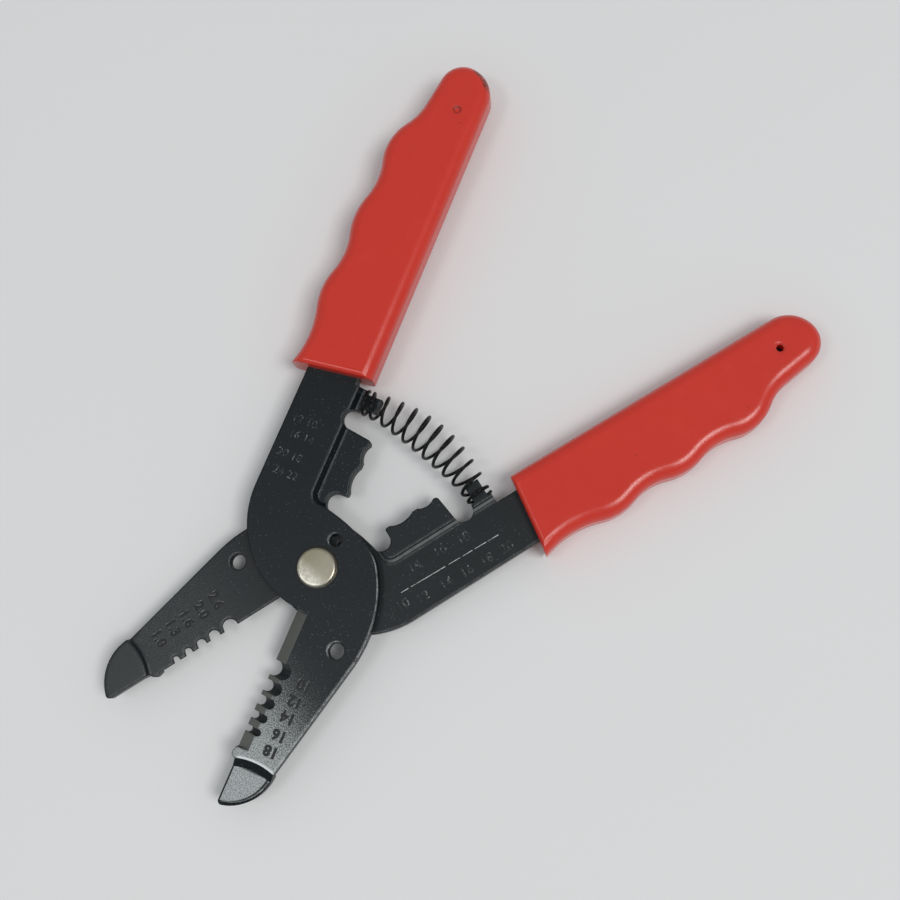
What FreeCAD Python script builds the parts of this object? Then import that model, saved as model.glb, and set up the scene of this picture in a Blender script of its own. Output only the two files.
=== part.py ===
"""Hand wire stripper: two identical stamped levers on one rivet, sleeved grips and a coil spring.

Both levers are one stamping. It is drawn closed, with the pivot at the origin, the handle
towards +Y on the -X side and the jaw towards -Y on the +X side. The upper lever is that
stamping turned open about the pivot, and the lower one is the same stamping flipped over.
"""
import FreeCAD, Part
import math
import os
import Sketcher
from types import SimpleNamespace

SIZES = {
    # plates
    "plate_thickness": 2.5,
    "plate_gap": 0.05,
    "half_opening": 17.75,
    "joggle_run": 1.0,
    "nose_run": 1.9,
    "nose_inner_run": 0.45,
    # rivet
    "shank_radius": 2.5,
    "running_clearance": 0.05,
    "head_radius": 4.4,
    "head_height": 1.35,
    "head_rim_radius": 4.65,
    "head_rim_height": 0.25,
    "head_rounding": 0.45,
    "rear_radius": 4.1,
    "rear_height": 1.2,
    # handle and hub
    "handle_outer": 21.0,
    "handle_inner": 8.6,
    "hub_arc_radius": 22.2,
    "hub_arc_height": 12.1,
    "hub_foot": 10.0,
    "tang_taper_start": 97.0,
    "tang_shoulder": 110.5,
    "tang_end": 116.0,
    "tang_end_outer": 18.4,
    "tang_corner": 2.3,
    # jaw
    "strip_overlap": 0.7,
    "jaw_meeting": 0.04,
    "jaw_step_height": 44.7,
    "jaw_bump_rise": 1.4,
    "jaw_bump": 0.35,
    "jaw_width": 9.4,
    "jaw_shoulder_width": 16.1,
    "jaw_shoulder_height": 17.0,
    "hub_width": 16.8,
    "hub_width_height": 11.5,
    "hub_side_radius": 32.0,
    "hub_back_radius": 28.0,
    "hub_round_radius": 9.3,
    "hub_round_inset": 4.5,
    "hub_round_drop": 6.7,
    "hub_top_radius": 37.0,
    "hub_top_inset": 7.2,
    "hub_top_drop": 4.15,
    "jaw_bump_radius": 1.2,
    "nose_height": 10.5,
    "nose_tip_corner": 0.85,
    "nose_rim_width": 0.9,
    "nose_rim_depth": 0.55,
    "nose_form_radius": 15.6,
    "nose_inner_radius": 14.0,
    "nose_form_rise": 0.8,
    "loop_hole_radius": 1.8,
    "loop_hole_width": 11.4,
    "loop_hole_height": 15.1,
    "gauge_hole_radius": 1.4,
    "gauge_hole_width": 1.3,
    "gauge_hole_height": 7.2,
    # ground edge and stripping notches
    "bevel_width": 2.9,
    "bevel_land": 0.5,
    "bevel_start": 10.4,
    "bevel_end_rise": 2.5,
    "relief_angle": 48.0,
    # crimping lobe
    "form_edge": 8.0,
    "form_foot": 12.95,
    "form_corner": 2.8,
    "bay_radius": 2.2,
    "bay_width": 2.4,
    "bay_height": 15.0,
    "lobe_gap": 0.45,
    "lobe_tip_height": 18.4,
    "lobe_ridge_start": 24.5,
    "lobe_ridge_end": 25.8,
    "lobe_top": 31.1,
    "lobe_foot_corner": 0.6,
    "lobe_top_corner": 0.9,
    "lobe_top_land": 0.2,
    "large_nest_radius": 6.0,
    "small_nest_radius": 3.6,
    # spring seat
    "slot_radius": 2.35,
    "slot_width": 6.3,
    "peg_height": 39.05,
    "peg_width": 3.4,
    "peg_length": 4.2,
    "shoulder_width": 5.2,
    "shoulder_reach": 1.8,
    # spring
    "wire_radius": 0.375,
    "wire_seat_gap": 0.05,
    "coil_end_radius": 2.72,
    "coil_middle_radius": 4.15,
    "end_pitch": 1.3,
    "end_turns": 1,
    "open_turns": 10,
    # grips
    "grip_thickness": 9.4,
    "grip_inner": 5.4,
    "grip_crest": 25.4,
    "grip_rounding": 3.0,
    "mouth_rounding": 1.1,
    "upper_mouth": 41.0,
    "lower_mouth": 44.6,
    "mouth_slant": 2.7,
    "mouth_flare": 24.7,
    "scallop_depth": 1.5,
    "first_crest": 18.8,
    "last_crest": 98.6,
    "grip_end": 122.9,
    "tail_side_inset": 1.3,
    "tail_side_drop": 7.2,
    "tail_top_inset": 7.8,
    "tail_back_inset": 14.2,
    "tail_back_drop": 5.5,
    "tail_hollow_inset": 15.2,
    "tail_hollow_drop": 12.4,
    "tail_shoulder_inset": 17.6,
    "tail_shoulder_drop": 17.7,
    "pin_radius": 0.85,
    "pin_dimple_depth": 0.35,
    "upper_pin_width": 12.4,
    "upper_pin_drop": 11.9,
    "lower_pin_width": 13.6,
    "lower_pin_drop": 9.9,
}

# Each notch strips one conductor: its diameter, the notch's width and its rise above the jaw's step.
NOTCHES = {
    "ten": (2.6, 3.5, 20.9),
    "twelve": (2.05, 2.65, 16.8),
    "fourteen": (1.63, 2.2, 13.4),
    "sixteen": (1.29, 1.75, 10.0),
    "eighteen": (1.02, 1.5, 6.8),
}

WIRE_SIDES = 8
STEPS_PER_TURN = 14
# how fast the coils widen from the spring's ends to its middle
SWELL_POWER = 1.5
# how far a cutting outline reaches past the metal
ROOM = 1.0
# the rim's inner line is struck this much flatter than an arc that starts square to the step
RIM_FLATNESS = 1.25
# share of the nose's height that the rim leaves free next to the step
RIM_START = 0.18
# share of a corner's radius that a flat struck at 45 degrees takes from each side
EASE = 1 - math.sqrt(0.5)
# distances, as shares of the radius, of the two chamfers that follow a round edge in three flats
FIRST_FLAT = 2 - math.sqrt(2)
SECOND_FLAT = math.tan(math.pi / 8) - math.tan(math.pi / 16)
# first guesses for the grip's radii that its smooth joints settle
GUESS = SimpleNamespace(tail_side=7.2, tail_top=6.6, tail_hollow=10.9, tail_shoulder=12.5, mouth_hollow=22.0)


class Size:
    """A number together with the expression that ties it to the sheet."""

    def __init__(self, value, text):
        self.value = float(value)
        self.text = text

    def __add__(self, other):
        other = as_size(other)
        return Size(self.value + other.value, f"({self.text} + {other.text})")

    def __sub__(self, other):
        other = as_size(other)
        return Size(self.value - other.value, f"({self.text} - {other.text})")

    def __mul__(self, other):
        other = as_size(other)
        return Size(self.value * other.value, f"({self.text} * {other.text})")

    def __truediv__(self, other):
        other = as_size(other)
        return Size(self.value / other.value, f"({self.text} / {other.text})")

    def __neg__(self):
        return Size(-self.value, f"(-1 * {self.text})")


def as_size(number):
    if isinstance(number, Size):
        return number
    return Size(number, f"{number}")


def angle_of(opposite, adjacent):
    """Angle in degrees whose tangent is opposite over adjacent."""
    ratio = opposite / adjacent
    return Size(math.degrees(math.atan(ratio.value)), f"atan({ratio.text})")


def cosine(angle):
    return Size(math.cos(math.radians(angle.value)), f"cos({angle.text} * 1 deg)")


def make_sheet(doc):
    """Put the driving sizes into the sheet and hand them back by name."""
    sheet = doc.addObject("Spreadsheet::Sheet", "Sizes")
    numbers = dict(SIZES)
    for name, (conductor, width, rise) in NOTCHES.items():
        numbers[f"{name}_conductor"] = conductor
        numbers[f"{name}_width"] = width
        numbers[f"{name}_rise"] = rise
    for row, (name, number) in enumerate(numbers.items(), start=1):
        sheet.set(f"A{row}", str(number))
        sheet.setAlias(f"A{row}", name)
    doc.recompute()
    return SimpleNamespace(**{name: Size(sheet.get(name), f"Sizes.{name}") for name in numbers})


def make_body(doc, name):
    body = doc.addObject("PartDesign::Body", name)
    body.Label = name
    return body


def make_sketch(body, name, role="XY_Plane", level=None):
    """Sketch on one of the body's origin planes, moved along its normal by level."""
    sketch = body.newObject("Sketcher::SketchObject", name)
    plane = [item for item in body.Origin.OriginFeatures if item.Role == role][0]
    sketch.AttachmentSupport = [(plane, "")]
    sketch.MapMode = "FlatFace"
    if level is not None:
        sketch.AttachmentOffset = FreeCAD.Placement(FreeCAD.Vector(0, 0, level.value), FreeCAD.Rotation())
        sketch.setExpression("AttachmentOffset.Base.z", level.text)
    return sketch


def bind(sketch, kind, geometry, point, size):
    """Fix one coordinate of a point of the sketch to a size."""
    constraint = Sketcher.Constraint(kind, -1, 1, geometry, point, size.value)
    index = sketch.addConstraint(constraint)
    sketch.setExpression(f"Constraints[{index}]", size.text)


def bind_radius(sketch, geometry, radius):
    index = sketch.addConstraint(Sketcher.Constraint("Radius", geometry, radius.value))
    sketch.setExpression(f"Constraints[{index}]", radius.text)


def arc_between(start, end, radius):
    """Arc from start to end, turning left for a positive radius and right for a negative one."""
    along = end - start
    half = along.Length / 2
    rise = math.sqrt(max(radius * radius - half * half, 0.0))
    left = FreeCAD.Vector(-along.y, along.x, 0).normalize()
    centre = (start + end) / 2 + left * math.copysign(rise, radius)
    first = math.atan2(start.y - centre.y, start.x - centre.x)
    last = math.atan2(end.y - centre.y, end.x - centre.x)
    if radius < 0:
        first, last = last, first
    if last < first:
        last += 2 * math.pi
    return Part.ArcOfCircle(Part.Circle(centre, FreeCAD.Vector(0, 0, 1), abs(radius)), first, last)


def corner(x, y, radius=None, turn=1, smooth=False, loose=()):
    """Corner of an outline and the edge that follows it, straight unless it has a radius.

    An arc bulges outwards where turn is 1 and inwards where it is -1. A smooth corner joins
    its two edges without a kink, and whichever of "x", "y" and "radius" is loose gives way.
    """
    return SimpleNamespace(x=as_size(x), y=as_size(y), radius=radius, turn=turn, smooth=smooth, loose=loose)


def draw_outline(sketch, corners):
    """Closed outline, anticlockwise, through the corners."""
    points = [FreeCAD.Vector(item.x.value, item.y.value, 0) for item in corners]
    edges = []
    ends = []
    for index, item in enumerate(corners):
        start = points[index]
        end = points[(index + 1) % len(points)]
        if item.radius is None:
            edges.append(sketch.addGeometry(Part.LineSegment(start, end)))
            ends.append((1, 2))
        else:
            radius = as_size(item.radius)
            edges.append(sketch.addGeometry(arc_between(start, end, radius.value * item.turn)))
            ends.append((1, 2) if item.turn > 0 else (2, 1))
            if "radius" not in item.loose:
                bind_radius(sketch, edges[-1], radius)
    for index, item in enumerate(corners):
        join = "Tangent" if item.smooth else "Coincident"
        sketch.addConstraint(Sketcher.Constraint(
            join, edges[index - 1], ends[index - 1][1], edges[index], ends[index][0]))
        if "x" not in item.loose:
            bind(sketch, "DistanceX", edges[index], ends[index][0], item.x)
        if "y" not in item.loose:
            bind(sketch, "DistanceY", edges[index], ends[index][0], item.y)


def draw_rectangle(sketch, left, bottom, right, top):
    draw_outline(sketch, [corner(left, bottom), corner(right, bottom), corner(right, top), corner(left, top)])


def draw_circle(sketch, x, y, radius):
    x = as_size(x)
    y = as_size(y)
    circle = Part.Circle(FreeCAD.Vector(x.value, y.value, 0), FreeCAD.Vector(0, 0, 1), radius.value)
    geometry = sketch.addGeometry(circle)
    bind(sketch, "DistanceX", geometry, 3, x)
    bind(sketch, "DistanceY", geometry, 3, y)
    bind_radius(sketch, geometry, radius)


def add_feature(body, kind, name, sketch, length, backwards=False, taper=None, along=None):
    """Pad or pocket of a sketch. It has to add to the body or take from it."""
    before = body.Shape.Volume if body.Tip else 0.0
    feature = body.newObject(f"PartDesign::{kind}", name)
    feature.Profile = sketch
    feature.setExpression("Length", length.text)
    feature.Reversed = backwards
    if taper is not None:
        feature.setExpression("TaperAngle", taper.text)
    if along is not None:
        feature.UseCustomVector = True
        feature.Direction = along
    sketch.Visibility = False
    body.Document.recompute()
    change = feature.Shape.Volume - before
    if (change <= 0) if kind == "Pad" else (change >= 0):
        raise ValueError(f"{name} leaves the body as it was")
    return feature


def ease_edges(body, kind, name, size, wanted):
    """Fillet or chamfer the edges of the body's last feature that wanted(edge) picks."""
    base = body.Tip
    edges = [f"Edge{index}" for index, edge in enumerate(base.Shape.Edges, start=1) if wanted(edge)]
    feature = body.newObject(f"PartDesign::{kind}", name)
    feature.Base = (base, edges)
    feature.setExpression("Radius" if kind == "Fillet" else "Size", size.text)
    body.Document.recompute()


def at_heights(edge, heights):
    """Whether the edge lies level at one of the heights."""
    return any(all(abs(vertex.Z - height.value) < 1e-4 for vertex in edge.Vertexes) for height in heights)


def levels(size):
    """Heights of the stamping's faces above the plane where the two plates meet."""
    floor = size.plate_gap / 2
    return SimpleNamespace(
        floor=floor,
        ceiling=floor + size.plate_thickness,
        middle=floor + size.plate_thickness / 2,
        drop=floor + size.plate_thickness / 2,
    )


def tang_corners(size):
    """The end of the handle that the grip covers, from its inner side round to its outer side."""
    return [
        corner(-size.handle_inner, size.tang_end - size.tang_corner * 1.7),
        corner(-size.handle_inner - size.tang_corner, size.tang_end),
        corner(size.tang_corner * 0.8 - size.tang_end_outer, size.tang_end),
        corner(-size.tang_end_outer, size.tang_shoulder),
        corner(-size.handle_outer, size.tang_taper_start),
    ]


def nose_tip(size):
    """Where the tip of the plier nose turns from its flat to its round back."""
    return size.jaw_meeting + size.nose_tip_corner


def nose_end(size):
    return size.jaw_step_height + size.nose_height


def nose_form_start(size):
    return size.jaw_step_height - size.nose_form_rise


def square_radius(across, down):
    """Radius of an arc that leaves a level edge squarely and ends across and down from there."""
    return (across * across + down * down) / (across * 2)


def lever_corners(size):
    """Outline of the stamping, anticlockwise from the tip of the plier nose."""
    slot_left = -size.slot_width - size.slot_radius
    slot_floor = size.peg_height - size.shoulder_width / 2 - size.slot_radius * 2
    shoulder_floor = size.peg_height - size.shoulder_width / 2
    shoulder_top = size.peg_height + size.shoulder_width / 2
    shoulder_end = size.shoulder_reach - size.form_edge
    peg_end = shoulder_end + size.peg_length
    tip = nose_tip(size)
    nose = [
        corner(tip, -nose_end(size), square_radius(size.jaw_width - tip, size.nose_height), 1),
        corner(size.jaw_width, -size.jaw_step_height),
    ]
    round_left = size.hub_width - size.hub_round_inset
    top_left = size.hub_width - size.hub_top_inset
    hub = [
        corner(size.jaw_shoulder_width, -size.jaw_shoulder_height, size.hub_side_radius, 1),
        corner(size.hub_width, -size.hub_width_height, size.hub_back_radius, 1),
        corner(round_left, size.hub_arc_height - size.hub_round_drop, size.hub_round_radius, 1),
        corner(top_left, size.hub_arc_height - size.hub_top_drop, size.hub_top_radius, 1),
    ]
    bay = [
        corner(-size.bay_width, size.bay_height - size.bay_radius, size.bay_radius, -1),
        corner(-size.bay_width - size.bay_radius, size.bay_height, size.bay_radius, -1),
        corner(-size.bay_width, size.bay_height + size.bay_radius),
    ]
    lobe_foot = size.bay_height + size.bay_radius
    nest_end = size.lobe_top - size.lobe_top_corner - size.lobe_top_land
    lobe = [
        corner(-size.lobe_gap - size.lobe_foot_corner, lobe_foot, size.lobe_foot_corner, 1),
        corner(-size.lobe_gap, lobe_foot + size.lobe_foot_corner),
        corner(-size.lobe_gap, size.lobe_tip_height, size.large_nest_radius, -1),
        corner(-size.lobe_gap, size.lobe_ridge_start),
        corner(-size.lobe_gap, size.lobe_ridge_end, size.small_nest_radius, -1),
        corner(-size.lobe_gap, nest_end),
        corner(-size.lobe_gap, size.lobe_top - size.lobe_top_corner, size.lobe_top_corner, 1),
        corner(-size.lobe_gap - size.lobe_top_corner, size.lobe_top),
    ]
    spring_seat = [
        corner(-size.slot_width, slot_floor, size.slot_radius, -1),
        corner(slot_left, slot_floor + size.slot_radius, size.slot_radius, -1),
        corner(-size.slot_width, shoulder_floor),
        corner(shoulder_end, shoulder_floor),
        corner(shoulder_end, size.peg_height - size.peg_width / 2),
        corner(peg_end, size.peg_height - size.peg_width / 2),
        corner(peg_end, size.peg_height + size.peg_width / 2),
        corner(shoulder_end, size.peg_height + size.peg_width / 2),
        corner(shoulder_end, shoulder_top),
        corner(-size.handle_inner, shoulder_top),
    ]
    back = [
        corner(-size.handle_outer, size.hub_arc_height, size.hub_arc_radius, 1),
        corner(-size.strip_overlap, -size.hub_foot),
    ]
    step = [
        corner(-size.strip_overlap, size.bevel_end_rise - size.jaw_step_height),
        corner(-size.strip_overlap - size.jaw_bump, size.jaw_bump_rise - size.jaw_step_height,
               size.jaw_bump_radius, 1),
        corner(size.jaw_meeting, -size.jaw_step_height),
        corner(size.jaw_meeting, size.nose_tip_corner - nose_end(size), size.nose_tip_corner, 1),
    ]
    return nose + hub + bay + lobe + spring_seat + tang_corners(size) + back + step


def form_nose(sketch, size, radius):
    """The nose is pressed down inside a circle, so the bend across the jaw is an arc."""
    draw_circle(sketch, size.jaw_width / 2, -nose_form_start(size) - radius, radius)


def form_lobe(sketch, size):
    """The lobe and the spring peg are pressed down inside one edge along the handle."""
    left = -size.form_edge
    foot = size.form_foot
    right = as_size(ROOM)
    top = size.peg_height + size.shoulder_width
    draw_outline(sketch, [
        corner(left, foot + size.form_corner, size.form_corner, 1),
        corner(left + size.form_corner, foot),
        corner(right, foot),
        corner(right, top),
        corner(left, top),
    ])


def press_formed_areas(body, size, level):
    """Lower the nose, the lobe and the peg by half a plate, with sloping walls."""
    faces = (
        ("Pad", "Boss", level.floor, size.nose_inner_radius, size.nose_inner_run),
        ("Pocket", "Recess", level.ceiling, size.nose_form_radius, size.nose_run),
    )
    for kind, face, height, nose_radius, nose_run in faces:
        for area, run in (("Nose", nose_run), ("Lobe", size.joggle_run)):
            sketch = make_sketch(body, f"{area}{face}Sketch", level=height)
            if area == "Nose":
                form_nose(sketch, size, nose_radius)
            else:
                form_lobe(sketch, size)
            add_feature(body, kind, f"{area}{face}", sketch, level.drop, backwards=kind == "Pad",
                        taper=-angle_of(run, level.drop))


def sheet_edges(size, room):
    """Left, bottom, right and top of a sheet that clears the lever and the nose's forming circles."""
    return (
        -size.handle_outer - room,
        -nose_form_start(size) - size.nose_form_radius * 2 - room,
        size.hub_width + size.nose_form_radius + room,
        size.tang_end + room,
    )


def blank_out(body, size, level):
    """Cut the pressed sheet to the outline of the lever."""
    trim = make_sketch(body, "TrimSketch", level=level.ceiling)
    draw_rectangle(trim, *sheet_edges(size, ROOM * 2))
    draw_outline(trim, lever_corners(size))
    add_feature(body, "Pocket", "Trim", trim, level.drop + size.plate_thickness + ROOM)


def roll_nose_rim(body, size, level):
    """Roll off the outer face of the nose round its back and tip, less towards the step."""
    rim = make_sketch(body, "RimSketch", level=level.ceiling - level.drop)
    tip = nose_tip(size)
    start = size.jaw_step_height + size.nose_height * RIM_START
    start_width = size.jaw_width - size.nose_rim_width / 2
    inner_tip = nose_end(size) - size.nose_rim_width
    radius = square_radius(start_width - tip, inner_tip - start) * RIM_FLATNESS
    reach = size.nose_rim_width * 2 + ROOM
    outside = size.jaw_width + reach
    below = nose_end(size) + reach
    left = size.jaw_meeting - reach
    draw_outline(rim, [
        corner(left, -below),
        corner(outside, -below),
        corner(outside, -start),
        corner(start_width, -start, radius, -1),
        corner(tip, -inner_tip),
        corner(left, -inner_tip),
    ])
    taper = -angle_of(size.nose_rim_width, size.nose_rim_depth)
    add_feature(body, "Pocket", "Rim", rim, size.nose_rim_depth, taper=taper)


def pierce_holes(body, size, level, pivot_radius):
    holes = make_sketch(body, "HoleSketch", level=level.ceiling)
    draw_circle(holes, 0, 0, pivot_radius)
    draw_circle(holes, size.loop_hole_width, -size.loop_hole_height, size.loop_hole_radius)
    draw_circle(holes, size.gauge_hole_width, size.gauge_hole_height, size.gauge_hole_radius)
    add_feature(body, "Pocket", "Holes", holes, size.plate_thickness + ROOM)


def grind_edge(body, size, level):
    """Grind the stripping edge to a slope that leaves a thin land at the meeting plane."""
    profile = make_sketch(body, "BevelSketch", role="XZ_Plane", level=size.bevel_start)
    run = size.bevel_width
    rise = size.plate_thickness - size.bevel_land
    slope = rise / run
    edge = -size.strip_overlap
    draw_outline(profile, [
        corner(edge - ROOM, level.floor + size.bevel_land - slope),
        corner(edge + run + ROOM, level.ceiling + slope),
        corner(edge - ROOM, level.ceiling + slope),
    ])
    length = size.jaw_step_height - size.bevel_end_rise - size.bevel_start
    add_feature(body, "Pocket", "Bevel", profile, length, backwards=True)


def grind_notches(body, size, level):
    """Round-ended notches, ground at a slant so that each has its edge at the meeting plane."""
    notches = make_sketch(body, "NotchSketch", level=level.floor)
    run = size.plate_thickness * 2.0
    for name in NOTCHES:
        conductor = getattr(size, f"{name}_conductor")
        radius = getattr(size, f"{name}_width") / 2
        middle = getattr(size, f"{name}_rise") - size.jaw_step_height
        end = conductor / 2
        draw_outline(notches, [
            corner(-run, middle - radius),
            corner(end - radius, middle - radius, radius, 1),
            corner(end, middle, radius, 1),
            corner(end - radius, middle + radius),
            corner(-run, middle + radius),
        ])
    angle = math.radians(size.relief_angle.value)
    slant = FreeCAD.Vector(math.sin(angle), 0, math.cos(angle))
    length = (size.plate_thickness + ROOM) / cosine(size.relief_angle)
    add_feature(body, "Pocket", "Notches", notches, length, along=slant)


def make_lever(doc, name, size, pivot_radius):
    level = levels(size)
    body = make_body(doc, name)
    blank = make_sketch(body, "BlankSketch", level=level.floor)
    draw_rectangle(blank, *sheet_edges(size, ROOM))
    add_feature(body, "Pad", "Blank", blank, size.plate_thickness)
    press_formed_areas(body, size, level)
    blank_out(body, size, level)
    roll_nose_rim(body, size, level)
    pierce_holes(body, size, level, pivot_radius)
    grind_edge(body, size, level)
    grind_notches(body, size, level)
    return body


def grip_corners(size, mouth):
    """Outline of a grip, anticlockwise from the outer corner of its mouth."""
    first = mouth + size.first_crest
    half_wave = (size.last_crest - first) / 4
    middle = -size.grip_crest + size.scallop_depth / 2
    radius = half_wave * half_wave / (size.scallop_depth * 4) + size.scallop_depth / 4
    inner = -size.grip_inner
    tail = size.grip_end
    corners = [
        corner(-size.mouth_flare, mouth),
        corner(inner, mouth + size.mouth_slant),
        corner(inner - size.tail_side_inset, tail - size.tail_side_drop,
               GUESS.tail_side, 1, True, ("radius",)),
        corner(inner - size.tail_top_inset, tail, GUESS.tail_top, 1, True, ("radius",)),
        corner(inner - size.tail_back_inset, tail - size.tail_back_drop, smooth=True, loose=("y",)),
        corner(inner - size.tail_hollow_inset, tail - size.tail_hollow_drop,
               GUESS.tail_hollow, -1, True, ("radius",)),
        corner(inner - size.tail_shoulder_inset, tail - size.tail_shoulder_drop,
               GUESS.tail_shoulder, 1, True, ("y", "radius")),
    ]
    height = size.last_crest - half_wave / 2
    corners.append(corner(middle, height, radius, -1, True))
    for turn in (1, -1, 1):
        height = height - half_wave
        corners.append(corner(middle, height, radius, turn))
    corners.append(corner(middle, height - half_wave, GUESS.mouth_hollow, -1, True, ("radius",)))
    return corners


def round_grip(body, size, mouth, faces):
    """Follow the grip's long round edges in three flats, and round its mouth."""
    lip = mouth.value + size.mouth_slant.value + 0.1
    first = size.grip_rounding * FIRST_FLAT
    second = size.grip_rounding * SECOND_FLAT
    bottom, top = faces

    def beyond_lip(edge):
        return edge.BoundBox.YMax > lip

    ease_edges(body, "Chamfer", "SideFlat", first,
               lambda edge: at_heights(edge, faces) and beyond_lip(edge))
    ease_edges(body, "Chamfer", "SideEase", second,
               lambda edge: at_heights(edge, (bottom, bottom + first, top - first, top)) and beyond_lip(edge))
    ease_edges(body, "Fillet", "MouthRounding", size.mouth_rounding,
               lambda edge: at_heights(edge, faces) and not beyond_lip(edge))


def make_grip(doc, name, size, mouth, pin):
    """Sleeve over the tang, with rounded sides, a finger-scalloped back and one core-pin mark."""
    level = levels(size)
    half = size.grip_thickness / 2
    bottom = level.middle - half
    top = level.middle + half
    body = make_body(doc, name)
    outline = make_sketch(body, "GripSketch", level=bottom)
    draw_outline(outline, grip_corners(size, mouth))
    add_feature(body, "Pad", "Sleeve", outline, size.grip_thickness)
    round_grip(body, size, mouth, (bottom, top))
    cavity = make_sketch(body, "CavitySketch", level=level.ceiling)
    draw_outline(cavity, [corner(-size.handle_outer, mouth - ROOM), corner(-size.handle_inner, mouth - ROOM)]
                 + tang_corners(size))
    add_feature(body, "Pocket", "Cavity", cavity, size.plate_thickness)
    mark = make_sketch(body, "PinSketch", level=bottom if pin.below else top)
    draw_circle(mark, -pin.width, size.grip_end - pin.drop, size.pin_radius)
    add_feature(body, "Pocket", "Pin", mark, pin.depth, backwards=pin.below)
    return body


def make_rivet(doc, size):
    """Shank with a flat factory head above and a formed head below."""
    body = make_body(doc, "pivot_rivet")
    profile = make_sketch(body, "RivetSketch", role="XZ_Plane")
    under_head = size.rear_height + size.plate_thickness * 2 + size.plate_gap
    rim = under_head + size.head_rim_height
    top = under_head + size.head_height
    ease = size.head_rounding * EASE
    draw_outline(profile, [
        corner(0, 0),
        corner(size.rear_radius - size.head_rounding, 0),
        corner(size.rear_radius - ease, ease),
        corner(size.rear_radius, size.head_rounding),
        corner(size.rear_radius, size.rear_height),
        corner(size.shank_radius, size.rear_height),
        corner(size.shank_radius, under_head),
        corner(size.head_rim_radius, under_head),
        corner(size.head_rim_radius, rim),
        corner(size.head_radius, rim),
        corner(size.head_radius, top - size.head_rounding),
        corner(size.head_radius - ease, top - ease),
        corner(size.head_radius - size.head_rounding, top),
        corner(0, top),
    ])
    turned = body.newObject("PartDesign::Revolution", "Turned")
    turned.Profile = profile
    turned.ReferenceAxis = (profile, ["V_Axis"])
    turned.Angle = 360
    return body


def spring_points(size):
    """Centre line of the wire, right-handed, from the left peg to the right one.

    The axis runs straight off each peg and bows along one arc between them, and the coils
    are widest in the middle.
    """
    half = math.radians(size.half_opening.value)
    lie = size.wire_radius.value + size.wire_seat_gap.value
    seat = FreeCAD.Vector(size.shoulder_reach.value - size.form_edge.value + lie, size.peg_height.value, 0)
    start = FreeCAD.Rotation(FreeCAD.Vector(0, 0, 1), math.degrees(half)).multVec(seat)
    straight = size.end_pitch.value * size.end_turns.value
    leaving = FreeCAD.Vector(math.cos(half), math.sin(half), 0)
    bend_start = start + leaving * straight
    bend_radius = -bend_start.x / math.sin(half)
    centre = FreeCAD.Vector(0, bend_start.y - bend_radius * math.cos(half), 0)
    bend_length = 2 * half * bend_radius
    whole = bend_length + 2 * straight
    turns = 2 * size.end_turns.value + size.open_turns.value
    steps = round(turns * STEPS_PER_TURN)
    points = []
    for step in range(steps + 1):
        turn = turns * step / steps
        if turn < size.end_turns.value:
            along = turn * size.end_pitch.value
        elif turn > turns - size.end_turns.value:
            along = whole - (turns - turn) * size.end_pitch.value
        else:
            along = straight + (turn - size.end_turns.value) * bend_length / size.open_turns.value
        lean = half - (min(max(along, straight), straight + bend_length) - straight) / bend_radius
        outward = FreeCAD.Vector(-math.sin(lean), math.cos(lean), 0)
        forward = FreeCAD.Vector(math.cos(lean), math.sin(lean), 0)
        overrun = min(along - straight, 0) + max(along - straight - bend_length, 0)
        axis_point = centre + outward * bend_radius + forward * overrun
        swell = math.sin(math.pi * along / whole) ** SWELL_POWER
        coil = size.coil_end_radius.value * (1 - swell) + size.coil_middle_radius.value * swell
        angle = 2 * math.pi * turn
        offset = outward * (coil * math.cos(angle)) + FreeCAD.Vector(0, 0, coil * math.sin(angle))
        points.append(axis_point + offset)
    return points


def make_spring(doc, size):
    """Sweep an eight-sided wire of the round wire's section area along the coils."""
    points = spring_points(size)
    run = (points[1] - points[0]).normalize()
    across = FreeCAD.Vector(0, 0, 1).cross(run).normalize()
    above = run.cross(across)
    share = WIRE_SIDES * math.sin(2 * math.pi / WIRE_SIDES) / 2
    reach = size.wire_radius.value * math.sqrt(math.pi / share)
    ring = []
    for side in range(WIRE_SIDES):
        angle = 2 * math.pi * side / WIRE_SIDES
        ring.append(points[0] + across * (reach * math.cos(angle)) + above * (reach * math.sin(angle)))
    section = Part.makePolygon(ring + ring[:1])
    spring = doc.addObject("Part::Feature", "return_spring")
    spring.Label = "return_spring"
    spring.Shape = Part.makePolygon(points).makePipeShell([section], True, False, 1)
    spring.Placement = FreeCAD.Placement(
        FreeCAD.Vector(0, 0, meeting_height(size).value), FreeCAD.Rotation())
    return spring


def meeting_height(size):
    """Height of the plane where the two plates meet, above the rivet's rear face."""
    return size.rear_height + size.plate_thickness + size.plate_gap / 2


def open_out(body, size, flipped):
    """Turn a closed piece open about the pivot, flipped over for the lower lever."""
    upright = FreeCAD.Vector(0, 0, 1)
    turn = FreeCAD.Rotation(upright, -size.half_opening.value if flipped else size.half_opening.value)
    if flipped:
        turn = turn.multiply(FreeCAD.Rotation(FreeCAD.Vector(0, 1, 0), 180))
    body.Placement = FreeCAD.Placement(FreeCAD.Vector(0, 0, meeting_height(size).value), turn)


def check_and_export(doc, pieces):
    doc.recompute()
    for item in doc.Objects:
        if "Invalid" in item.State or "Error" in item.State:
            raise ValueError(f"{item.Name} failed")
    for piece in pieces:
        if piece.Shape.isNull() or not piece.Shape.isValid():
            raise ValueError(f"{piece.Label} has no valid shape")
    os.makedirs("parts", exist_ok=True)
    for piece in pieces:
        piece.Shape.exportStep(f"parts/{piece.Label}.step")


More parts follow.
